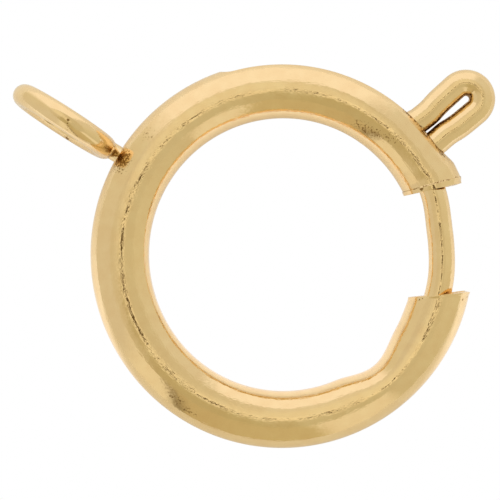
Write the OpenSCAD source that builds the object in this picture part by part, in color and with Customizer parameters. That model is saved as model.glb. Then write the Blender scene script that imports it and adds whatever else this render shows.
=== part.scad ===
// Spring ring clasp: a hollow tube bent into a ring, with a sprung wire bolt that closes its gap,
// a thumb loop bent from the same wire, and an eye that stands square to the ring.
// Millimetres. Angles run counterclockwise from +X round the ring's axis, seen from above.
// The clasp lies on the plane z = 0, on the eye and on the ring's far side, as it does on a table.

/* [Ring] */
// Outside diameter of the ring
ring_d = 18.1; // [16.1:0.5:22.1]
// Outside diameter of the bent tube
tube_d = 2.7; // [2.62:0.02:2.76]
// Thickness of the tube's wall
wall_t = 0.26; // [0.2:0.02:0.28]

/* [Mouths] */
// Angle of the upper mouth's centre
upper_mouth_a = 23.5; // [21:0.5:25]
// Direction of the saw cut across the upper mouth
upper_cut_a = 12.8; // [8:0.4:24]
// Width of the tube at the upper mouth
upper_mouth_d = 2.8; // [2.78:0.01:2.9]
// Distance that the upper mouth stands outside the tube's centre line
upper_mouth_offset = 0.085; // [0:0.005:0.12]
// Angle over which the upper end widens
upper_flare_a = 9.5; // [7:0.5:12]
// Angle of the lower mouth's centre
lower_mouth_a = -14; // [-17:0.5:-11]
// Direction of the saw cut across the lower mouth
lower_cut_a = 4.9; // [-8:0.3:8]
// Width of the tube at the lower mouth
lower_mouth_d = 2.78; // [2.78:0.01:2.9]
// Distance that the lower mouth stands inside the tube's centre line
lower_mouth_offset = 0.06; // [0:0.005:0.12]
// Angle over which the lower end widens
lower_flare_a = 22; // [16:1:24]

/* [Dent] */
// Angle of the plier dent in the ring's inner side
dent_a = -48.5; // [-60:0.5:-46]
// Depth of the dent
dent_h = 0.4; // [0.1:0.01:0.46]
// Angle from the dent's corner to each of its ends
dent_half_a = 14; // [8:1:16]

/* [Slot] */
// Width of the slot along the ring's outer side
slot_w = 1.34; // [1.3:0.02:1.5]
// Angle of the slot's near end, where the thumb loop rests
slot_start_a = 31.6; // [30.5:0.1:32]
// Angle of the slot's far end
slot_end_a = 108.8; // [107:0.2:125]

/* [Bolt] */
// Diameter of the bolt's wire
wire_d = 1.24; // [1.1:0.02:1.26]
// Distance that the tongue runs inside the tube's centre line
tongue_offset = 0.13; // [0.05:0.01:0.2]
// Distance that the tail runs outside the tube's centre line
tail_offset = 0.3; // [0.1:0.02:0.34]
// Angle of the tongue's tip, past the lower mouth
tip_a = -19.5; // [-24:0.5:-18.5]
// Angle of the tail's end, where the spring bears
tail_a = 66; // [62:1:70]
// Bend radius where the tongue turns out into the thumb loop
tongue_bend_r = 1.1; // [0.9:0.05:1.2]
// Bend radius where the thumb loop turns back into the tail
tail_bend_r = 1.36; // [1.1:0.02:1.5]

/* [Thumb loop] */
// Angle at which the thumb loop stands
lever_a = 40.35; // [40:0.05:41]
// Distance of the loop's head from the ring's axis
lever_reach = 11.36; // [10.8:0.02:12.4]
// Bend radius of the loop's head
lever_head_r = 0.76; // [0.72:0.01:0.9]
// Angle that each leg leans out from the loop's middle
lever_spread_a = 3.2; // [2:0.1:3.6]

/* [Spring] */
// Diameter of the spring's wire
spring_wire_d = 0.2; // [0.14:0.01:0.22]
// Outside diameter of the spring
spring_d = 1.36; // [1.2:0.02:1.4]
// Number of turns
spring_turns = 13; // [8:1:13]
// Distance that the spring runs outside the tube's centre line
spring_offset = 0.18; // [0:0.02:0.2]

/* [Eye] */
// Angle at which the eye stands on the ring
eye_a = 148.4; // [135:0.2:165]
// Outside diameter of the eye
eye_d = 5.56; // [4.6:0.02:6.4]
// Diameter of the eye's wire
eye_wire_d = 1.08; // [0.96:0.02:1.3]
// Gap between the eye's wire and the tube
eye_gap = 0.175; // [0.1:0.005:0.4]
// Angle that the eye is twisted out of square
eye_twist_a = 3.2; // [-6:0.2:6]
// Diameter of the post that holds the eye in the tube
post_d = 0.8; // [0.7:0.02:0.9]

/* [Clearance] */
// Clearance round the post and at the spring's ends
seat_gap = 0.03; // [0.02:0.01:0.06]

/* [Hidden] */
$fn = 96;

gold = "#DABC82";
spring_steel = "#B9B4A8";

ring_r = (ring_d - tube_d) / 2;
tube_r = tube_d / 2;
bore_r = tube_r - wall_t;
wire_r = wire_d / 2;
post_r = post_d / 2;
// A bend draws the wire a trifle thinner and runs a little way into the straight parts at its ends.
bend_draw = 0.002;
bend_into = 0.02;
eye_r = (eye_d - eye_wire_d) / 2;
eye_reach = ring_r + tube_r + eye_gap + eye_d / 2;
post_end_r = ring_r - sqrt(pow(bore_r, 2) - pow(post_r, 2)) + seat_gap;
cut_reach = 2 * tube_d;

// The eye reaches lower than the tube, so the ring lies with the eye's side lifted.
rest_tilt_a = asin((eye_d / 2 - tube_r) / (eye_reach + ring_r));
rest_h = ring_r * sin(rest_tilt_a) + tube_r;

function polar(r, a) = [r * cos(a), r * sin(a)];
function angle_of(v) = atan2(v.y, v.x);

upper_mouth = polar(ring_r + upper_mouth_offset, upper_mouth_a);
lower_mouth = polar(ring_r - lower_mouth_offset, lower_mouth_a);

// The loop's legs are tangent to its head and lean out by lever_spread_a on either side.
// side is 1 for the leg that turns into the tail and -1 for the one that comes from the tongue.
lever_head = polar(lever_reach, lever_a);
function leg_a(side) = lever_a + side * lever_spread_a;
function leg_out(side) = polar(1, leg_a(side) + side * 90);
function leg_offset(side) = lever_head * leg_out(side) + lever_head_r;
function leg_top(side) = lever_head + lever_head_r * leg_out(side);

// Each bend touches its leg and the arc that the wire follows inside the tube.
function bend_along(side, path_r, bend_r) =
    sqrt(pow(path_r + bend_r, 2) - pow(leg_offset(side) + bend_r, 2));
function leg_foot(side, path_r, bend_r) =
    bend_along(side, path_r, bend_r) * polar(1, leg_a(side)) + leg_offset(side) * leg_out(side);
function bend_centre(side, path_r, bend_r) =
    leg_foot(side, path_r, bend_r) + bend_r * leg_out(side);

tongue_r = ring_r - tongue_offset;
tail_r = ring_r + tail_offset;
tongue_bend = bend_centre(-1, tongue_r, tongue_bend_r);
tail_bend = bend_centre(1, tail_r, tail_bend_r);

module at_rest() {
    translate([0, 0, rest_h])
        rotate(a = rest_tilt_a, v = [cos(eye_a - 90), sin(eye_a - 90), 0])
            children();
}

// Part of a round ring: section radius r on a circle of radius path_r, from angle a1 to a2.
module ring_arc(path_r, r, a1, a2) {
    rotate_extrude(angle = a2 - a1, start = a1)
        translate([path_r, 0])
            circle(r);
}

// A bend of the bolt's wire about centre, from angle a1 to a2.
module bend(centre, path_r, a1, a2) {
    into_a = bend_into / path_r * 180 / PI;
    translate([each centre, 0])
        ring_arc(path_r, wire_r - bend_draw, a1 - into_a, a2 + into_a);
}

module rod(p1, p2, r1, r2) {
    translate([p1.x, p1.y, 0])
        rotate([0, 90, angle_of(p2 - p1)])
            cylinder(h = norm(p2 - p1), r1 = r1, r2 = r2);
}

module slab(h) {
    cube([2 * ring_d, 2 * ring_d, h], center = true);
}

// A mouth's widened end: a cone from inside the ring to past the saw cut, kept to the ring's height.
// grow is added to its radius.
module flare(mouth, mouth_d, start_a, grow) {
    start = polar(ring_r, start_a);
    start_r = 0.98 * tube_r;
    past = mouth_d / 2 / norm(mouth - start);
    past_r = mouth_d / 2 + past * (mouth_d / 2 - start_r);
    intersection() {
        rod(start, mouth + past * (mouth - start), start_r + grow, past_r + grow);
        slab(0.98 * tube_d + 2 * grow);
    }
}

module both_flares(grow) {
    flare(upper_mouth, upper_mouth_d, upper_mouth_a + upper_flare_a, grow);
    flare(lower_mouth, lower_mouth_d, lower_mouth_a - lower_flare_a, grow);
}

// What the saw took out between the mouths.
module gap_cut() {
    upper_run = cut_reach * polar(1, upper_cut_a) / 2;
    lower_run = cut_reach * polar(1, lower_cut_a) / 2;
    linear_extrude(height = cut_reach, center = true)
        polygon([upper_mouth - upper_run, upper_mouth + upper_run,
                 lower_mouth + lower_run, lower_mouth - lower_run]);
}

// The dent is a shallow corner pressed in from the middle of the ring, past the surface at inner_r.
module dent_cut(inner_r) {
    linear_extrude(height = cut_reach, center = true)
        polygon([polar(inner_r, dent_a - dent_half_a), polar(inner_r + dent_h, dent_a),
                 polar(inner_r, dent_a + dent_half_a), polar(inner_r - tube_d, dent_a)]);
}

module tube_bore() {
    difference() {
        union() {
            ring_arc(ring_r, bore_r, 0, 360);
            both_flares(-wall_t);
        }
        dent_cut(ring_r - bore_r);
    }
}

// The slot's ends are rounded, a little narrower than its sides.
module slot_cut() {
    end_r = 0.48 * slot_w;
    end_a = asin(end_r / (ring_r + tube_r));
    from_a = slot_start_a + end_a;
    to_a = slot_end_a - end_a;
    rotate_extrude(angle = to_a - from_a, start = from_a)
        translate([ring_r, -slot_w / 2])
            square([tube_d, slot_w]);
    for (a = [from_a, to_a])
        rod(polar(ring_r + wall_t, a), polar(ring_r + tube_d - wall_t, a), end_r, end_r);
}

module post_hole() {
    rod(polar(ring_r, eye_a), polar(ring_r + tube_d, eye_a), post_r + seat_gap, post_r + seat_gap);
}

// Hollow tube, bent round, sawn through at the gap and slotted for the thumb loop.
module tube() {
    color(gold)
        difference() {
            union() {
                ring_arc(ring_r, tube_r, 0, 360);
                both_flares(0);
            }
            dent_cut(ring_r - tube_r);
            tube_bore();
            gap_cut();
            slot_cut();
            post_hole();
        }
}

// One wire: the tongue across the gap, the thumb loop out through the slot, and the tail behind it.
module bolt() {
    color(gold)
        union() {
            translate([each polar(tongue_r, tip_a), 0])
                rotate([90, 0, tip_a])
                    sphere(wire_r - bend_draw);
            ring_arc(tongue_r, wire_r, tip_a, angle_of(tongue_bend));
            bend(tongue_bend, tongue_bend_r, leg_a(-1) + 90, angle_of(tongue_bend) + 180);
            rod(leg_foot(-1, tongue_r, tongue_bend_r), leg_top(-1), wire_r, wire_r);
            bend(lever_head, lever_head_r, leg_a(-1) - 90, leg_a(1) + 90);
            rod(leg_foot(1, tail_r, tail_bend_r), leg_top(1), wire_r, wire_r);
            bend(tail_bend, tail_bend_r, angle_of(tail_bend) + 180, leg_a(1) + 270);
            ring_arc(tail_r, wire_r, angle_of(tail_bend), tail_a);
        }
}

// Compression spring, coiled along the tube from the bolt's tail to the eye's post.
// The end turns lie close and the others share the rest of the length.
spring_path_r = ring_r + spring_offset;
spring_r = (spring_d - spring_wire_d) / 2;
spring_end_a = (spring_wire_d / 2 + seat_gap) / spring_path_r * 180 / PI;
spring_start_a = tail_a + spring_end_a;
spring_stop_a = eye_a - asin((post_r + seat_gap) / ring_r) - spring_end_a;
coil_steps = 12;
wire_sides = 6;
close_turn_a = 1.1 * spring_wire_d / spring_path_r * 180 / PI;

function coil_a(turn) =
    let (open_turns = spring_turns - 2, open_a = spring_stop_a - spring_start_a - 2 * close_turn_a)
    turn < 1 ? spring_start_a + close_turn_a * turn
    : turn > spring_turns - 1 ? spring_stop_a - close_turn_a * (spring_turns - turn)
    : spring_start_a + close_turn_a + open_a * (turn - 1) / open_turns;

// A point of the wire's skin: turn counts along the coil, side goes round the wire.
function coil_point(turn, side) =
    let (a = coil_a(turn), r = spring_r + spring_wire_d / 2 * cos(side),
         out = spring_path_r + r * cos(360 * turn), along = spring_wire_d / 2 * sin(side))
    [out * cos(a) - along * sin(a), out * sin(a) + along * cos(a), r * sin(360 * turn)];

module spring() {
    rings = spring_turns * coil_steps;
    color(spring_steel)
        polyhedron(
            points = [for (i = [0 : rings], j = [0 : wire_sides - 1])
                coil_point(i / coil_steps, 360 * j / wire_sides)],
            faces = [
                [for (j = [0 : wire_sides - 1]) j],
                for (i = [0 : rings - 1], j = [0 : wire_sides - 1])
                    let (k = (j + 1) % wire_sides, here = i * wire_sides, next = here + wire_sides)
                    [here + k, here + j, next + j, next + k],
                [for (j = [wire_sides - 1 : -1 : 0]) rings * wire_sides + j]
            ]);
}

// Closed wire eye, with the post that goes through the tube's wall and crosses its bore.
module eye() {
    color(gold)
        union() {
            rotate(eye_a)
                translate([eye_reach, 0, 0])
                    rotate([90 + eye_twist_a, 0, 0])
                        ring_arc(eye_r, eye_wire_d / 2, 0, 360);
            rod(polar(post_end_r, eye_a), polar(eye_reach - eye_r, eye_a), post_r, post_r);
        }
}

at_rest() tube();
at_rest() bolt();
at_rest() spring();
at_rest() eye();
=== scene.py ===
from math import asin, atan2, cos, degrees, pi, radians, sin, sqrt

import bmesh
import bpy
import numpy as np
from mathutils import Matrix, Vector


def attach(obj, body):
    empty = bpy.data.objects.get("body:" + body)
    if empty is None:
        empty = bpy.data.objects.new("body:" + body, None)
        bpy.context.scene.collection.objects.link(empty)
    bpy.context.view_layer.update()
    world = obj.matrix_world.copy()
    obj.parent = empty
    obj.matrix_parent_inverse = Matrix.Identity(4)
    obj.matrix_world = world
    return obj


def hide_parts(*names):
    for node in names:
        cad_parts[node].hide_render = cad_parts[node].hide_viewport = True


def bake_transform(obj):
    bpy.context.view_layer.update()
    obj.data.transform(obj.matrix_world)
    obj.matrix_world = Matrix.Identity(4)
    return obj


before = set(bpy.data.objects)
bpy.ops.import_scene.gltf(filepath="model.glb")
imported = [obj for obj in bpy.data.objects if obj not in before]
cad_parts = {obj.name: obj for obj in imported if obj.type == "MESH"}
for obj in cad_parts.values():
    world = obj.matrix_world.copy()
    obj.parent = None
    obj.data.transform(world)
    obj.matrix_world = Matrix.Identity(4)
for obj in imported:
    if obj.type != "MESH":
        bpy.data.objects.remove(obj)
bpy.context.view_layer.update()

# Tube: a thin-walled gold-filled tube bent round a mandrel into an open ring. Its ends are swaged a little
# wider and sawn across, the jaws of the pliers left a dent on the inner side, and a slot for the thumb loop
# is milled along the outer side. Millimetres and degrees in the ring's own plane, until as_object().
ring_d = 18.1
tube_d = 2.7
wall_t = 0.26
ring_r = (ring_d - tube_d) / 2
tube_r = tube_d / 2
tube_sides = 112
broken_edge = 0.022
sharp_a = 50.0              # edges sharper than this are broken with an abrasive wheel
oval = -0.047               # the ring is bent a little oval, narrow from left to right
oval_rise = 0.03
inner_rise = 0.019          # the bore's side was struck a little off the outer circle's centre
inner_offset = 0.073
flat_w = 0.15               # opposite the mouth the bore's side was drawn flatter over the mandrel
flat_a = 203.0
flat_half_a = 80.0

upper_mouth_a = 23.5
upper_mouth_r = ring_r + 0.085
upper_cut_a = 12.8
upper_bulge = 0.15          # the end was pinched to the outside when the saw cut was closed up
upper_bulge_from_a = 32.0
upper_bulge_full_a = 28.0
upper_crease = ((5.743, 2.985), (8.449, 3.729))
upper_crease_w = 0.06
upper_lip_h = 0.035
upper_lip_w = 0.05
upper_corner_h = 0.09       # the corner farthest out was rounded off with the file
upper_corner_w = 0.28
lower_mouth_a = -14.0
lower_mouth_r = ring_r - 0.06
lower_cut_a = 4.9
lower_lip_h = 0.022
lower_lip_w = 0.11
lower_lip_edge = 0.04
lower_flare = 0.1
lower_flare_from_a = -38.0
lower_flare_to_a = -20.0
lip_reach_a = 12.0
mouth_reach = 3.0           # nothing farther from a mouth than this belongs to it

dent_h = 0.36
dent_a = -50.0
dent_from_a = -67.0
dent_to_a = -33.0
dent_fall = 1.6             # how fast the dent fades away from the inner side

slot_w = 1.34
slot_start_a = 31.6
slot_end_a = 108.8

eye_a = 148.4
eye_d = 5.56
eye_wire_d = 1.08
eye_gap = 0.175
post_d = 0.8
seat_gap = 0.03
eye_reach = ring_r + tube_r + eye_gap + eye_d / 2

# The eye reaches lower than the tube, so the ring lies with the eye's side lifted.
rest_tilt = asin((eye_d / 2 - tube_r) / (eye_reach + ring_r))
rest_h = ring_r * sin(rest_tilt) + tube_r
tilt_axis = Vector((cos(radians(eye_a - 90)), sin(radians(eye_a - 90)), 0))
at_rest = (Matrix.Scale(0.001, 4) @ Matrix.Translation((0, 0, rest_h))
           @ Matrix.Rotation(rest_tilt, 4, tilt_axis))


def polar(r, a, z=0):
    return Vector((r * cos(radians(a)), r * sin(radians(a)), z))


def angle_of(v):
    return degrees(atan2(v.y, v.x))


def ease(t):
    t = min(max(t, 0.0), 1.0)
    return t * t * (3 - 2 * t)


def across(centre, a):
    """Places a circle so that it stands across a path that passes centre, in the direction a + 90."""
    return Matrix.Translation(centre) @ Matrix.Rotation(radians(a), 4, "Z") @ Matrix.Rotation(pi / 2, 4, "X")


def outward(centre, a):
    """Places a rod so that it points out of the ring in the direction a."""
    return Matrix.Translation(centre) @ Matrix.Rotation(radians(a), 4, "Z") @ Matrix.Rotation(pi / 2, 4, "Y")


def edges_of(geom):
    return [e for e in geom if isinstance(e, bmesh.types.BMEdge)]


def swing(bm, edges, centre, sweep, steps):
    """Spins a loop of edges round centre by sweep degrees and returns the last loop."""
    made = bmesh.ops.spin(bm, geom=edges, cent=centre, axis=(0, 0, 1), angle=radians(sweep), steps=steps)
    return edges_of(made["geom_last"])


def close_end(bm, edges):
    bmesh.ops.contextual_create(bm, geom=edges)


def as_object(bm, name, to_place=Matrix.Identity(4)):
    """Makes an object that stands at the origin and has its place in its mesh."""
    mesh = bpy.data.meshes.new(name)
    bm.to_mesh(mesh)
    bm.free()
    mesh.transform(to_place)
    made = bpy.data.objects.new(name, mesh)
    bpy.context.scene.collection.objects.link(made)
    return made


def place(bm, name, material, body, cad_node):
    """Turns a mesh in the ring's plane into a finished piece that lies on the table."""
    bmesh.ops.recalc_face_normals(bm, faces=bm.faces[:])
    for face in bm.faces:
        face.smooth = True
    piece = as_object(bm, name, at_rest)
    piece.data.materials.append(material)
    if body:
        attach(piece, body)
    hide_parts(cad_node)
    return piece


def tarnish_and_shade(piece, spots):
    """How much tarnish and painted shade each point gets: spots are (r, a, z) places in the ring with a radius
    and a share.
    """
    points = np.empty(3 * len(piece.data.vertices))
    piece.data.vertices.foreach_get("co", points)
    points = 1000 * points.reshape(-1, 3)
    amount = np.zeros(len(points))
    for r, a, z, radius, share in spots:
        off = np.linalg.norm(points - 1000 * np.array(at_rest @ polar(r, a, z)), axis=1) / radius
        amount = np.maximum(amount, share * np.clip(1.5 * (1 - off), 0, 1))
    return amount


def mark(piece, amount):
    piece.data.attributes.new("tarnish_and_shade", "FLOAT", "POINT").data.foreach_set("value", amount)


def srgb(text):
    """An sRGB hex colour as linear red, green, blue and alpha."""
    parts = [int(text[i:i + 2], 16) / 255 for i in (1, 3, 5)]
    return tuple(c / 12.92 if c <= 0.04045 else ((c + 0.055) / 1.055) ** 2.4 for c in parts) + (1.0,)


def node(tree, kind, inputs=(), **settings):
    """Adds a node. Settings name a property or an input, and inputs pairs an input with a value or a socket."""
    made = tree.nodes.new(kind)
    for name, value in settings.items():
        if hasattr(made, name):
            setattr(made, name, value)
        else:
            made.inputs[name.replace("_", " ")].default_value = value
    for name, value in inputs:
        if isinstance(value, bpy.types.NodeSocket):
            tree.links.new(value, made.inputs[name])
        else:
            made.inputs[name].default_value = value
    return made


def new_material(name):
    made = bpy.data.materials.new(name)
    made.use_nodes = True
    made.node_tree.nodes.clear()
    return made, made.node_tree


# Buffed gold fill: a gold layer on brass, buffed on a felt wheel, so it is bright and pale yellow, with soft
# waves and dimples left from the bending. Fine lines run along the tube and break a reflection's edge up
# into specks. A point attribute turns it dull and brown: real tarnish where the wheel didn't reach, and painted
# shade in the bore, the crease, the loop's slit and round the eye's foot.
gold_rough = 0.08
tarnish_rough = 0.2
wave_w, wave_h = 2.4, 0.055
dimple_w, dimple_h = 0.55, 0.006
line_l, line_w, line_h = 0.26, 0.06, 0.008      # drawn coarser than real, which are about 0.01 mm wide
speck_w = 0.1                                   # drawn coarser than real, which are about 0.03 mm wide
patch_w = 1.8

gold, tree = new_material("buffed_gold_fill")
place_at = node(tree, "ShaderNodeTexCoord").outputs["Object"]
waves = node(tree, "ShaderNodeTexNoise", [("Vector", place_at)], Scale=1000 / wave_w, Detail=1.0)
dimples = node(tree, "ShaderNodeTexNoise", [("Vector", place_at)], Scale=1000 / dimple_w, Detail=2.0)
patches = node(tree, "ShaderNodeTexNoise", [("Vector", place_at)], Scale=1000 / patch_w, Detail=4.0)
grain = node(tree, "ShaderNodeTexNoise", [("Vector", place_at)], Scale=1000 / speck_w, Detail=2.0,
             Roughness=0.6)

# The lines follow the ring: the noise is laid out by the angle round it, the radius and the height.
flat = node(tree, "ShaderNodeVectorMath", [(0, place_at), (1, (-1, -1, 0))], operation="MULTIPLY")
flat_at = node(tree, "ShaderNodeSeparateXYZ", [("Vector", flat.outputs["Vector"])])
turn = node(tree, "ShaderNodeMath", [(0, flat_at.outputs["Y"]), (1, flat_at.outputs["X"])], operation="ARCTAN2")
radius = node(tree, "ShaderNodeVectorMath", [(0, flat.outputs["Vector"])], operation="LENGTH")
height = node(tree, "ShaderNodeSeparateXYZ", [("Vector", place_at)])
wrapped = node(tree, "ShaderNodeCombineXYZ", [("X", turn.outputs[0]), ("Y", radius.outputs["Value"]),
                                             ("Z", height.outputs["Z"])])
stretched = node(tree, "ShaderNodeVectorMath", [(0, wrapped.outputs["Vector"]),
                                                (1, (ring_r / line_l, 1000 / line_w, 1000 / line_w))],
                 operation="MULTIPLY")
lines = node(tree, "ShaderNodeTexNoise", [("Vector", stretched.outputs["Vector"])], Scale=1.0, Detail=1.0)

strong = node(tree, "ShaderNodeMapRange", [("Value", patches.outputs["Fac"])],
              From_Min=0.4, From_Max=0.65, To_Min=0.35, To_Max=1.0)
rough = node(tree, "ShaderNodeMapRange", [("Value", patches.outputs["Fac"])],
             From_Min=0.3, From_Max=0.7, To_Min=gold_rough * 0.8, To_Max=gold_rough * 1.3)
speck = node(tree, "ShaderNodeMapRange", [("Value", grain.outputs["Fac"])], From_Min=0.3, From_Max=0.7)
blotch = node(tree, "ShaderNodeMapRange", [("Value", dimples.outputs["Fac"])], From_Min=0.3, From_Max=0.7)
tint = node(tree, "ShaderNodeMix", [(0, blotch.outputs["Result"]), (6, srgb("#F7DAAA")), (7, srgb("#FBE1B2"))],
            data_type="RGBA")
# Tarnish and painted shade: this attribute browns real tarnish, and it also paints shade into the bore, the
# crease, the slit and the joints.
tarnish_and_shade_fac = node(tree, "ShaderNodeAttribute", attribute_name="tarnish_and_shade").outputs["Fac"]
caught = node(tree, "ShaderNodeMath", [(0, tarnish_and_shade_fac), (1, speck.outputs["Result"])], operation="ADD")
dulled_and_shaded = node(tree, "ShaderNodeMapRange", [("Value", caught.outputs[0])], From_Min=1.0, From_Max=1.3)
dulled_and_shaded = dulled_and_shaded.outputs["Result"]
tarnish_and_shade_tone = node(tree, "ShaderNodeMix", [(0, dulled_and_shaded), (6, tint.outputs[2]), (7, srgb("#967443"))],
               data_type="RGBA")
dull = node(tree, "ShaderNodeMath", [(0, dulled_and_shaded), (1, tarnish_rough), (2, rough.outputs["Result"])],
            operation="MULTIPLY_ADD")
low = node(tree, "ShaderNodeBump", [("Height", waves.outputs["Fac"])], Strength=1.0, Distance=wave_h / 1000)
middle = node(tree, "ShaderNodeBump", [("Height", dimples.outputs["Fac"]), ("Normal", low.outputs["Normal"])],
              Strength=1.0, Distance=dimple_h / 1000)
fine = node(tree, "ShaderNodeBump",
            [("Height", lines.outputs["Fac"]), ("Strength", strong.outputs["Result"]),
             ("Normal", middle.outputs["Normal"])], Distance=line_h / 1000)
shader = node(tree, "ShaderNodeBsdfPrincipled",
              [("Base Color", tarnish_and_shade_tone.outputs[2]), ("Roughness", dull.outputs[0]),
               ("Normal", fine.outputs["Normal"])], Metallic=1.0)
node(tree, "ShaderNodeOutputMaterial", [("Surface", shader.outputs["BSDF"])])

upper_mouth = polar(upper_mouth_r, upper_mouth_a)
lower_mouth = polar(lower_mouth_r, lower_mouth_a)
mouths = ((upper_mouth, upper_cut_a, -1), (lower_mouth, lower_cut_a, 1))
crease_a, crease_b = (Vector((*p, 0)) for p in upper_crease)
crease_out = (crease_b - crease_a).cross(Vector((0, 0, 1))).normalized()


def bend_tube(bm):
    """Moves the points of a plain round ring to where swaging, pliers and bending left them."""
    lower_out = polar(1, lower_cut_a + 90)
    for v in bm.verts:
        a, out, z = angle_of(v.co), v.co.to_2d().length - ring_r, v.co.z
        outer = min(max((1 + out / tube_r) / 2, 0.0), 1.0)
        inner = 1 - outer
        shift = oval * cos(radians(2 * a)) + oval_rise * sin(radians(a))
        shift += inner * (inner_rise + inner_offset * cos(radians(a)))
        shift += inner ** dent_fall * dent_h * (ease((a - dent_from_a) / (dent_a - dent_from_a))
                                                - ease((a - dent_a) / (dent_to_a - dent_a)))
        if a < 0:
            flared = (a - lower_flare_from_a) / (lower_flare_to_a - lower_flare_from_a)
            shift -= inner * lower_flare * ease(flared)
        else:
            bulged = (upper_bulge_from_a - a) / (upper_bulge_from_a - upper_bulge_full_a)
            shift += outer * upper_bulge * ease(bulged)
        flat = flat_w * ease(1 - abs((a - flat_a + 180) % 360 - 180) / flat_half_a)
        shift += min(out, 0.0) * flat * sin(2 * atan2(-out, z)) ** 2
        point = polar(ring_r + out + shift, a)
        skin = Vector((point.x, point.y, z)) - polar(ring_r, a)
        lip = 0
        if abs(a - upper_mouth_a) < lip_reach_a:
            past = (point - crease_a).dot(crease_out)
            lip = (upper_lip_h * ease(past / upper_lip_w + 0.5)
                   - upper_corner_h * outer ** 4 * ease(past / upper_corner_w))
        elif abs(a - lower_mouth_a) < lip_reach_a:
            past = (point - lower_mouth).dot(lower_out) + lower_lip_w
            lip = lower_lip_h * ease(past / lower_lip_edge)
        v.co = Vector((point.x, point.y, z)) + lip * skin.normalized()


# The tube is bent longer than it ends, with finer steps near the mouths, and then sawn to length.
upper_spare_a = 4
lower_spare_a = 5
upper_fine_a = 9
lower_fine_a = 21
start_a = upper_mouth_a - upper_spare_a
bm = bmesh.new()
bmesh.ops.create_circle(bm, segments=tube_sides, radius=tube_r, matrix=across(polar(ring_r, start_a), start_a))
loop = bm.edges[:]
for sweep, steps in ((upper_fine_a, 70), (360 - start_a - upper_fine_a - lower_fine_a, 300),
                     (lower_fine_a + lower_mouth_a + lower_spare_a, 90)):
    loop = swing(bm, loop, (0, 0, 0), sweep, steps)
bend_tube(bm)
for mouth, cut_a, side in mouths:
    faces = [f for f in bm.faces if (f.calc_center_median() - mouth).length < mouth_reach]
    edges = {e for f in faces for e in f.edges}
    verts = {v for f in faces for v in f.verts}
    bmesh.ops.bisect_plane(bm, geom=list(verts) + list(edges) + faces, plane_co=mouth,
                           plane_no=side * polar(1, cut_a + 90), clear_outer=True)
tube = place(bm, "ring_tube", gold, "case", "tube")

# Cutter for the slot and the post's hole: a bent bar with round ends, and a short rod.
cutter_r = ring_r + 1.5
cutter_h = 2.0
slot_round_a = degrees(asin(slot_w / 2 / (ring_r + tube_r)))
slot_from_a = slot_start_a + slot_round_a
slot_to_a = slot_end_a - slot_round_a
bm = bmesh.new()
cut = []
for end_a, side in ((slot_from_a, -1), (slot_to_a, 1)):
    made = bmesh.ops.create_cone(bm, cap_ends=True, segments=48, radius1=slot_w / 2, radius2=slot_w / 2,
                                 depth=cutter_h, matrix=outward(polar(cutter_r, end_a), end_a))
    faces = {f for v in made["verts"] for f in v.link_faces}
    edges = {e for f in faces for e in f.edges}
    halved = bmesh.ops.bisect_plane(bm, geom=made["verts"] + list(edges) + list(faces), plane_co=(0, 0, 0),
                                    plane_no=side * polar(1, end_a + 90), clear_inner=True, dist=1e-5)
    cut.append(edges_of(halved["geom_cut"]))
swing(bm, cut[0], (0, 0, 0), slot_to_a - slot_from_a, 60)
bmesh.ops.remove_doubles(bm, verts=bm.verts[:], dist=1e-4)
hole_r = post_d / 2 + seat_gap
bmesh.ops.create_cone(bm, cap_ends=True, segments=48, radius1=hole_r, radius2=hole_r, depth=cutter_h,
                      matrix=outward(polar(cutter_r, eye_a), eye_a))
bmesh.ops.recalc_face_normals(bm, faces=bm.faces[:])
cutter = as_object(bm, "cutter", at_rest)

wall = tube.modifiers.new("wall", "SOLIDIFY")
wall.thickness, wall.offset, wall.use_even_offset = wall_t / 1000, -1, True
mill = tube.modifiers.new("slot", "BOOLEAN")
mill.operation, mill.solver, mill.object = "DIFFERENCE", "EXACT", cutter
edge = tube.modifiers.new("edge", "BEVEL")
edge.width, edge.segments, edge.use_clamp_overlap = broken_edge / 1000, 2, True
edge.limit_method, edge.angle_limit = "ANGLE", radians(sharp_a)
bpy.context.view_layer.update()
finished = bpy.data.meshes.new_from_object(tube.evaluated_get(bpy.context.evaluated_depsgraph_get()))
tube.modifiers.clear()
tube.data = finished
bpy.data.objects.remove(cutter)

# Tarnish and painted shade on the tube, both dull and brown: painted shade round the eye's foot, in the bore
# from just behind the mouths and along the crease at the upper mouth; tarnish on burrs at the mouths and on
# scuffed patches; and darker along the slot beside the thumb loop. Each spot is given by its radius, angle and
# height in the ring, its own radius and its share.
# Painted shade round the eye's foot on the tube.
foot_ring = (8.75, eye_a + 1.0, 0.8, 0.85, 0.85)
slot_edge = [(8.88, a, 0.6, 0.34, 1) for a in range(33, 50, 2)]
burrs = ((7.206, 25.5, 1.26, 0.13, 1), (6.68, -19.0, 0.89, 0.08, 1), (6.77, -17.9, 0.98, 0.09, 1),
         (6.86, -17.1, 1.06, 0.08, 1), (8.75, -13.6, 0.85, 0.1, 1), (8.96, -12.7, 0.5, 0.1, 1))
scuffs = ((6.95, 60.0, 1.2, 0.42, 0.53), (7.05, 56.5, 1.2, 0.42, 0.53), (7.2, 53.0, 1.2, 0.42, 0.53),
          (7.35, 49.5, 1.2, 0.36, 0.53), (7.5, 46.0, 1.2, 0.36, 0.53), (8.35, 231.5, 1.2, 0.36, 0.53),
          (8.45, 235.0, 1.2, 0.4, 0.53), (8.55, 238.5, 1.2, 0.4, 0.53), (8.6, 241.5, 1.2, 0.34, 0.53),
          (8.45, 137.5, 1.2, 0.5, 0.4), (7.75, 88.0, 1.2, 0.3, 0.4))
# Painted shade: the bore is darkened from just behind the mouths, and the crease at the upper mouth is darkened
# as a line.
bore_share, bore_from, bore_full = 0.9, 0.12, 0.42
crease_share = 0.8
amount = tarnish_and_shade(tube, (foot_ring, *slot_edge, *burrs, *scuffs))
off_rest = at_rest.inverted()
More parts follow.
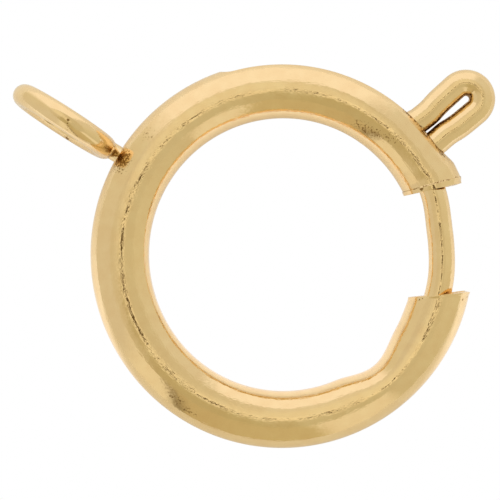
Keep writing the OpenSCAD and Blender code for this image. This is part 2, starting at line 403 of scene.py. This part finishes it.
for v in finished.vertices:
    point = off_rest @ v.co
    a = angle_of(point)
    # Painted shade inside the bore.
    if (point - polar(ring_r, a)).dot(off_rest.to_3x3() @ v.normal) < 0:
        deep = min([side * (mouth - point).dot(polar(1, cut_a + 90)) for mouth, cut_a, side in mouths
                    if (point - mouth).length < mouth_reach] + [mouth_reach])
        amount[v.index] = bore_share * ease((deep - bore_from) / (bore_full - bore_from))
    # Painted shade along the crease at the upper mouth.
    elif abs(a - upper_mouth_a) < lip_reach_a:
        off = abs((point - crease_a).dot(crease_out)) / upper_crease_w
        amount[v.index] = max(amount[v.index], crease_share * (1 - off))
mark(tube, amount)

# Bolt: one drawn gold-filled wire. The tongue crosses the gap, the wire doubles back on itself to make the
# thumb loop, and its tail runs on in the bore to meet the spring. The tip is rounded by tumbling.
wire_d = 1.24
wire_r = wire_d / 2
tongue_r = ring_r - 0.13
tail_r = ring_r + 0.3
tip_a = -19.5
tail_a = 66.0
tongue_bend_r = 1.1
tail_bend_r = 1.36
lever_a = 40.35
lever_head = polar(11.36, lever_a)
lever_head_r = 0.76
lever_spread_a = 3.2
leg_steps = 24
loop_rise = 0.028           # the thumb loop was bent a little up out of the ring's plane
loop_rise_from = 9.2
tongue_bows = ((0.22, 8.0, 18.0), (-0.05, -10.0, 14.0))     # how far out, from which angle, over how much
tongue_bow_end_a = 25.0
tongue_bow_fade_a = 9.0
pinches = ((0.022, 9.7, 0.5), (-0.024, 8.95, 0.55))         # how far in, at which reach, over how much
belly_reach = 10.4
bellies = {-1: (0.04, 1.2), 1: (0.02, 1.0)}                 # the legs stand apart in the middle


def leg_a(side):
    return lever_a + side * lever_spread_a


def leg_out(side):
    return polar(1, leg_a(side) + side * 90)


def leg_foot(side, path_r, bend_r):
    offset = lever_head.dot(leg_out(side)) + lever_head_r
    along = sqrt((path_r + bend_r) ** 2 - (offset + bend_r) ** 2)
    return polar(along, leg_a(side)) + offset * leg_out(side)


def bend_centre(side, path_r, bend_r):
    return leg_foot(side, path_r, bend_r) + bend_r * leg_out(side)


def run_to(bm, edges, move):
    """Draws a loop of edges straight on by move."""
    made = bmesh.ops.extrude_edge_only(bm, edges=edges)["geom"]
    bmesh.ops.translate(bm, verts=[v for v in made if isinstance(v, bmesh.types.BMVert)], vec=move)
    return edges_of(made)


def round_tip(bm, edges, centre, direction, radius, steps=9):
    """Closes a loop of edges with a half sphere that points in direction."""
    for i in range(1, steps + 1):
        made = bmesh.ops.extrude_edge_only(bm, edges=edges)["geom"]
        turn = pi / 2 * min(i / steps, 0.999)
        for v in (v for v in made if isinstance(v, bmesh.types.BMVert)):
            side = v.co - centre
            side = (side - side.dot(direction) * direction).normalized()
            v.co = centre + radius * (cos(turn) * side + sin(turn) * direction)
        edges = [e for e in edges_of(made) if len(e.link_faces) == 1]
    close_end(bm, edges)


def hump(t):
    return ease(1 - abs(t))


def set_bolt(bm):
    """Moves the bolt's points to where bending by hand left them, up to 0.15 mm from the plain curves."""
    along, aside = polar(1, lever_a), polar(1, lever_a + 90)
    for v in bm.verts:
        a = angle_of(v.co)
        if v.co.to_2d().length < tongue_r + 2 * wire_r and a < tongue_bow_end_a + tongue_bow_fade_a:
            bow = sum(h * ease((a - from_a) / over_a) for h, from_a, over_a in tongue_bows)
            v.co += polar(bow * (1 - ease((a - tongue_bow_end_a) / tongue_bow_fade_a)), a)
        reach = v.co.dot(along)
        side = -1 if v.co.dot(aside) < 0 else 1
        belly_h, belly_w = bellies[side]
        inward = (sum(h * hump((reach - at) / over) for h, at, over in pinches)
                  - belly_h * hump((reach - belly_reach) / belly_w))
        v.co.z += loop_rise * max(reach - loop_rise_from, 0.0)
        v.co -= side * aside * inward


tongue_bend = bend_centre(-1, tongue_r, tongue_bend_r)
tail_bend = bend_centre(1, tail_r, tail_bend_r)
bm = bmesh.new()
tip = polar(tongue_r, tip_a)
bmesh.ops.create_circle(bm, segments=56, radius=wire_r, matrix=across(tip, tip_a))
first = bm.edges[:]
loop = swing(bm, first, (0, 0, 0), angle_of(tongue_bend) - tip_a, 50)
round_tip(bm, first, tip, polar(-1, tip_a + 90), wire_r)
loop = swing(bm, loop, tongue_bend, -(angle_of(tongue_bend) + 180 - leg_a(-1) - 90), 24)
leg_top = lever_head + lever_head_r * leg_out(-1)
leg = (leg_top - leg_foot(-1, tongue_r, tongue_bend_r)) / leg_steps
for i in range(leg_steps):
    loop = run_to(bm, loop, leg)
loop = swing(bm, loop, lever_head, 180 + 2 * lever_spread_a, 56)
leg_top = lever_head + lever_head_r * leg_out(1)
leg = (leg_foot(1, tail_r, tail_bend_r) - leg_top) / leg_steps
for i in range(leg_steps):
    loop = run_to(bm, loop, leg)
loop = swing(bm, loop, tail_bend, -(leg_a(1) + 270 - angle_of(tail_bend) - 180), 24)
loop = swing(bm, loop, (0, 0, 0), tail_a - angle_of(tail_bend), 30)
close_end(bm, loop)
set_bolt(bm)
bolt = place(bm, "wire_bolt", gold, "bolt", "bolt")

# Painted shade: the slit between the loop's legs is darkened brown all along, as shade that falls between them.
slit_from, slit_step, slit_spots = 8.8, 0.12, 24
mark(bolt, tarnish_and_shade(bolt, [(slit_from + slit_step * i, lever_a, 0.15, 0.5, 0.85) for i in range(slit_spots)]))

# Spring: bright steel wire wound on a mandrel and slid into the bore between the bolt's tail and the
# eye's post. It shows only through the slot. Its ends are closed.
spring_wire_r = 0.1
spring_r = 0.58
spring_path_r = ring_r + 0.18
spring_turns = 13
turn_steps = 28
end_gap_a = degrees((spring_wire_r + seat_gap) / spring_path_r)
spring_start_a = tail_a + end_gap_a
spring_stop_a = eye_a - degrees(asin((post_d / 2 + seat_gap) / ring_r)) - end_gap_a
close_turn_a = degrees(2.2 * spring_wire_r / spring_path_r)


def coil_a(turn):
    if turn < 1:
        return spring_start_a + close_turn_a * turn
    if turn > spring_turns - 1:
        return spring_stop_a - close_turn_a * (spring_turns - turn)
    open_a = spring_stop_a - spring_start_a - 2 * close_turn_a
    return spring_start_a + close_turn_a + open_a * (turn - 1) / (spring_turns - 2)


# Drawn spring steel: grey and half bright, with fine streaks left by the drawing die.
streak_w = 0.08             # drawn coarser than real, which are about 0.01 mm wide
steel, tree = new_material("drawn_spring_steel")
place_at = node(tree, "ShaderNodeTexCoord").outputs["Object"]
streaks = node(tree, "ShaderNodeTexNoise", [("Vector", place_at)], Scale=1000 / streak_w, Detail=2.0)
rough = node(tree, "ShaderNodeMapRange", [("Value", streaks.outputs["Fac"])], To_Min=0.22, To_Max=0.38)
shader = node(tree, "ShaderNodeBsdfPrincipled", [("Base Color", srgb("#BDB8AC")),
                                                ("Roughness", rough.outputs["Result"])], Metallic=1.0)
node(tree, "ShaderNodeOutputMaterial", [("Surface", shader.outputs["BSDF"])])

# The coil is first spun straight up, rising 1 a turn, so that its height tells the turn. Then it is bent.
bm = bmesh.new()
bmesh.ops.create_circle(bm, segments=12, radius=spring_wire_r, matrix=across(Vector((spring_r, 0, 0)), 0))
first = bm.edges[:]
made = bmesh.ops.spin(bm, geom=first, cent=(0, 0, 0), axis=(0, 0, 1), angle=2 * pi * spring_turns,
                      dvec=(0, 0, 1.0 / turn_steps), steps=spring_turns * turn_steps)
close_end(bm, first)
close_end(bm, edges_of(made["geom_last"]))
for v in bm.verts:
    turned = angle_of(v.co) / 360 % 1.0
    turn = round(v.co.z - turned) + turned
    along = v.co.z - turn
    a = coil_a(min(max(turn, 0), spring_turns)) + degrees(along / spring_path_r)
    v.co = polar(spring_path_r + v.co.x, a, v.co.y)
spring = place(bm, "coil_spring", steel, None, "spring")
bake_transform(spring)

# Eye: drawn wire closed into a ring and butted, with a short post riveted through the tube's wall. It is
# a few degrees out of square, and the polish left small pits near the butt joint; the brown at the foot is
# painted shade where the eye meets the tube.
eye_r = (eye_d - eye_wire_d) / 2
eye_twist = radians(3.2)
eye_lean = radians(1.0)
pits = ((11.72, 147.8, 2.76, 0.14, 1), (11.66, 148.6, 2.76, 0.12, 0.8), (11.6, 150.0, 2.64, 0.16, 0.9),
        (11.45, 150.7, 2.45, 0.13, 0.8), (11.62, 151.2, -2.0, 0.24, 1))
# Painted shade at the eye's foot.
foot = (9.2, eye_a + 0.5, 0.35, 0.62, 0.9)

bm = bmesh.new()
bmesh.ops.create_circle(bm, segments=80, radius=eye_wire_d / 2, matrix=across(Vector((eye_r, 0, 0)), 0))
bmesh.ops.spin(bm, geom=bm.edges[:], cent=(0, 0, 0), axis=(0, 0, 1), angle=2 * pi, steps=240, use_merge=True)
bmesh.ops.transform(bm, verts=bm.verts[:], space=Matrix.Identity(4),
                    matrix=Matrix.Rotation(radians(eye_a), 4, "Z") @ Matrix.Translation((eye_reach, 0, 0))
                    @ Matrix.Rotation(-eye_lean, 4, "Z") @ Matrix.Rotation(pi / 2 + eye_twist, 4, "X"))
bore_r = tube_r - wall_t
post_from = ring_r - sqrt(bore_r ** 2 - (post_d / 2) ** 2) + seat_gap
post_to = eye_reach - eye_r
bmesh.ops.create_cone(bm, cap_ends=True, segments=56, radius1=post_d / 2, radius2=post_d / 2,
                      depth=post_to - post_from, matrix=outward(polar((post_from + post_to) / 2, eye_a), eye_a))
eye = place(bm, "wire_eye", gold, "case", "eye")
mark(eye, tarnish_and_shade(eye, (*pits, foot)))

# Table: a sheet of opal acrylic over a light box, which the jeweller photographs small pieces on. It looks
# white and even to the camera, and the metal's underside sees it brighter and darker from front to back.
table_half = 2.0
glow_reach = 0.012
glow_stops = ((0, 0.12), (0.17, 0.18), (0.29, 0.5), (0.42, 0.42), (0.55, 0.3), (0.75, 0.15), (1, 0.2))


def set_stops(ramp, stops):
    """Gives a ramp its stops: each is a place from 0 to 1 and a colour."""
    elements = ramp.color_ramp.elements
    for at, colour in stops[1:-1]:
        elements.new(at).color = colour
    elements[0].color = stops[0][1]
    elements[-1].color = stops[-1][1]


acrylic, tree = new_material("opal_acrylic")
seen_glow = node(tree, "ShaderNodeEmission", Strength=1.0)
sheet = node(tree, "ShaderNodeBsdfDiffuse", [("Color", srgb("#F4F4F2"))])
place_at = node(tree, "ShaderNodeSeparateXYZ", [("Vector", node(tree, "ShaderNodeTexCoord").outputs["Object"])])
share = node(tree, "ShaderNodeMapRange", [("Value", place_at.outputs["Y"])],
             From_Min=-glow_reach, From_Max=glow_reach)
depth = node(tree, "ShaderNodeValToRGB", [("Fac", share.outputs["Result"])])
set_stops(depth, [(at, (glow, glow, glow, 1)) for at, glow in glow_stops])
low_glow = node(tree, "ShaderNodeEmission", [("Color", srgb("#E6E9FF")), ("Strength", depth.outputs["Color"])])
lit = node(tree, "ShaderNodeAddShader", [(0, sheet.outputs["BSDF"]), (1, low_glow.outputs["Emission"])])
seen = node(tree, "ShaderNodeLightPath")
either = node(tree, "ShaderNodeMixShader", [("Fac", seen.outputs["Is Camera Ray"]), (1, lit.outputs["Shader"]),
                                            (2, seen_glow.outputs["Emission"])])
node(tree, "ShaderNodeOutputMaterial", [("Surface", either.outputs["Shader"])])
bm = bmesh.new()
bmesh.ops.create_grid(bm, x_segments=1, y_segments=1, size=table_half)
table = as_object(bm, "table")
table.data.materials.append(acrylic)

# Camera: straight above the ring, on its own axis, and close, as for a macro shot. The ring's centre is a
# little off the middle of the frame.
frame_px = 500
ring_px = (281.8, 255.3)
pixel_mm = 0.04707
camera_mm = 150.0
aim = Vector(((frame_px / 2 - ring_px[0]) * pixel_mm, (ring_px[1] - frame_px / 2) * pixel_mm, 0))
camera = bpy.data.objects.new("camera", bpy.data.cameras.new("camera"))
bpy.context.scene.collection.objects.link(camera)
turned = at_rest.copy()
turned.translation = (0, 0, 0)
camera.rotation_mode = "QUATERNION"
camera.rotation_quaternion = turned.to_quaternion()
camera.location = at_rest @ (aim + Vector((0, 0, camera_mm)))
camera.data.lens = camera.data.sensor_width * camera_mm / (frame_px * pixel_mm)
camera.data.clip_start, camera.data.clip_end = 0.001, 20
bpy.context.scene.camera = camera
bpy.context.scene.view_settings.view_transform = "Standard"

# Lens: the dark coated glass at the front of the camera, which shows as a thin broken line along the ring's
# left crest, the tongue and the thumb loop. The camera itself doesn't see it.
lens_at = Vector((11.7, 0.97, 154))
lens_half_x = 0.0115
lens_half_y = 0.007


def facing_down(centre):
    """Places a disc so that it faces the ring from centre."""
    return Matrix.Translation(at_rest @ centre) @ turned.to_quaternion().to_matrix().to_4x4()


glass, tree = new_material("coated_lens_glass")
shader = node(tree, "ShaderNodeEmission", [("Color", srgb("#594622"))], Strength=1.0)
node(tree, "ShaderNodeOutputMaterial", [("Surface", shader.outputs["Emission"])])
bm = bmesh.new()
bmesh.ops.create_circle(bm, cap_ends=True, segments=48, radius=1.0)
lens = as_object(bm, "lens", facing_down(lens_at) @ Matrix.Diagonal((lens_half_x, lens_half_y, 1, 1)))
lens.data.materials.append(glass)
lens.visible_camera = False

# Ring light: a soft white ring round the lens, which leaves a bright edge on both sides of the lens's line.
# It fades out away from the lens.
halo_from = 0.012
halo_to = 0.028
diffuser, tree = new_material("ring_light_diffuser")
place_at = node(tree, "ShaderNodeTexCoord").outputs["Object"]
off_lens = node(tree, "ShaderNodeVectorMath", [(0, place_at), (1, at_rest @ lens_at)], operation="DISTANCE")
share = node(tree, "ShaderNodeMapRange", [("Value", off_lens.outputs["Value"])],
             interpolation_type="SMOOTHSTEP", From_Min=halo_from, From_Max=halo_to, To_Min=0.9, To_Max=0.0)
shine = node(tree, "ShaderNodeEmission", [("Color", srgb("#FFF6D8"))], Strength=1.0)
clear = node(tree, "ShaderNodeBsdfTransparent")
either = node(tree, "ShaderNodeMixShader", [("Fac", share.outputs["Result"]), (1, clear.outputs["BSDF"]),
                                            (2, shine.outputs["Emission"])])
node(tree, "ShaderNodeOutputMaterial", [("Surface", either.outputs["Shader"])])
bm = bmesh.new()
bmesh.ops.create_circle(bm, cap_ends=True, segments=48, radius=halo_to)
ring_light = as_object(bm, "ring_light", facing_down(lens_at + Vector((0, 0, 1))))
ring_light.data.materials.append(diffuser)
ring_light.visible_camera = False

# Light box: white card walls close round the piece, brightest behind it, with dim joints and an open front.
# The walls stand nearer than the lamps' tent above, so each side of the ring shows them a little shifted.
wall_reach = 0.033
wall_h = 0.042
card_glow = 1.02
card_left, card_right, card_front = "#D9D3C1", "#D8D2B7", "#CABF99"
card_back, card_bright = "#FFF9F0", "#EAE3CD"
card_stops = ((-180, card_left), (-151, card_left), (-142, card_bright), (-129, card_bright), (-124, "#94886B"),
              (-120, "#C5B790"), (-90, card_front), (-77, card_front), (-71, card_bright), (-54, card_bright),
              (-47, "#D0C9AD"), (0, card_right), (30, "#DED9C6"), (50, "#DFDAC9"), (59, card_back),
              (128, card_back), (141, "#DCD6BF"), (180, card_left))

card, tree = new_material("white_card")
place_at = node(tree, "ShaderNodeSeparateXYZ", [("Vector", node(tree, "ShaderNodeTexCoord").outputs["Object"])])
turn = node(tree, "ShaderNodeMath", [(0, place_at.outputs["Y"]), (1, place_at.outputs["X"])],
            operation="ARCTAN2")
share = node(tree, "ShaderNodeMapRange", [("Value", turn.outputs[0])], From_Min=-pi, From_Max=pi)
tones = node(tree, "ShaderNodeValToRGB", [("Fac", share.outputs["Result"])])
set_stops(tones, [((a + 180) / 360, srgb(text)) for a, text in card_stops])
shader = node(tree, "ShaderNodeEmission", [("Color", tones.outputs["Color"])], Strength=card_glow)
node(tree, "ShaderNodeOutputMaterial", [("Surface", shader.outputs["Emission"])])
bm = bmesh.new()
bmesh.ops.create_circle(bm, segments=96, radius=wall_reach)
run_to(bm, bm.edges[:], Vector((0, 0, wall_h)))
card_wall = as_object(bm, "card_wall")
card_wall.data.materials.append(card)
card_wall.visible_camera = False

# Tent: cloth over the box, with a lamp behind it a little back from straight above. The camera sees plain
# white past the table, and the metal sees the cloth.
cloth_stops = ((-180, "#D7D0B8"), (-150, "#D6CEB5"), (-128, "#C2B895"), (-90, "#C2B891"), (-70, "#CEC7A8"),
               (-45, "#D0CAAF"), (0, "#D3CCB0"), (30, "#D4CDB4"), (60, "#DAD3BB"), (85, "#E5DFCC"),
               (125, "#E5DECA"), (150, "#D8D1BD"), (180, "#D7D0B8"))
lamp_a = 98.0
lamp_off = radians(15)
lamp_at = polar(sin(lamp_off), lamp_a, cos(lamp_off))
world = bpy.data.worlds.new("tent")
bpy.context.scene.world = world
world.use_nodes = True
tree = world.node_tree
tree.nodes.clear()
looking = node(tree, "ShaderNodeTexCoord").outputs["Generated"]
way = node(tree, "ShaderNodeSeparateXYZ", [("Vector", looking)])
turn = node(tree, "ShaderNodeMath", [(0, way.outputs["Y"]), (1, way.outputs["X"])], operation="ARCTAN2")
share = node(tree, "ShaderNodeMapRange", [("Value", turn.outputs[0])], From_Min=-pi, From_Max=pi)
cloth = node(tree, "ShaderNodeValToRGB", [("Fac", share.outputs["Result"])])
set_stops(cloth, [((a + 180) / 360, srgb(text)) for a, text in cloth_stops])
toward_lamp = node(tree, "ShaderNodeVectorMath", [(0, looking), (1, lamp_at)], operation="DOT_PRODUCT")
off_lamp = node(tree, "ShaderNodeMath", [(0, toward_lamp.outputs["Value"])], operation="ARCCOSINE")
lamp = node(tree, "ShaderNodeMapRange", [("Value", off_lamp.outputs[0])], interpolation_type="SMOOTHSTEP",
            From_Min=radians(6), From_Max=radians(25), To_Min=1.0, To_Max=0.0)
mixed = node(tree, "ShaderNodeMix", [(0, lamp.outputs["Result"]), (6, cloth.outputs["Color"]),
                                     (7, srgb("#EDE6CC"))], data_type="RGBA")
seen = node(tree, "ShaderNodeLightPath")
shown = node(tree, "ShaderNodeMix", [(0, seen.outputs["Is Camera Ray"]), (6, mixed.outputs[2]),
                                     (7, srgb("#FFFFFF"))], data_type="RGBA")
sky = node(tree, "ShaderNodeBackground", [("Color", shown.outputs[2])], Strength=1.0)
node(tree, "ShaderNodeOutputWorld", [("Surface", sky.outputs["Background"])])
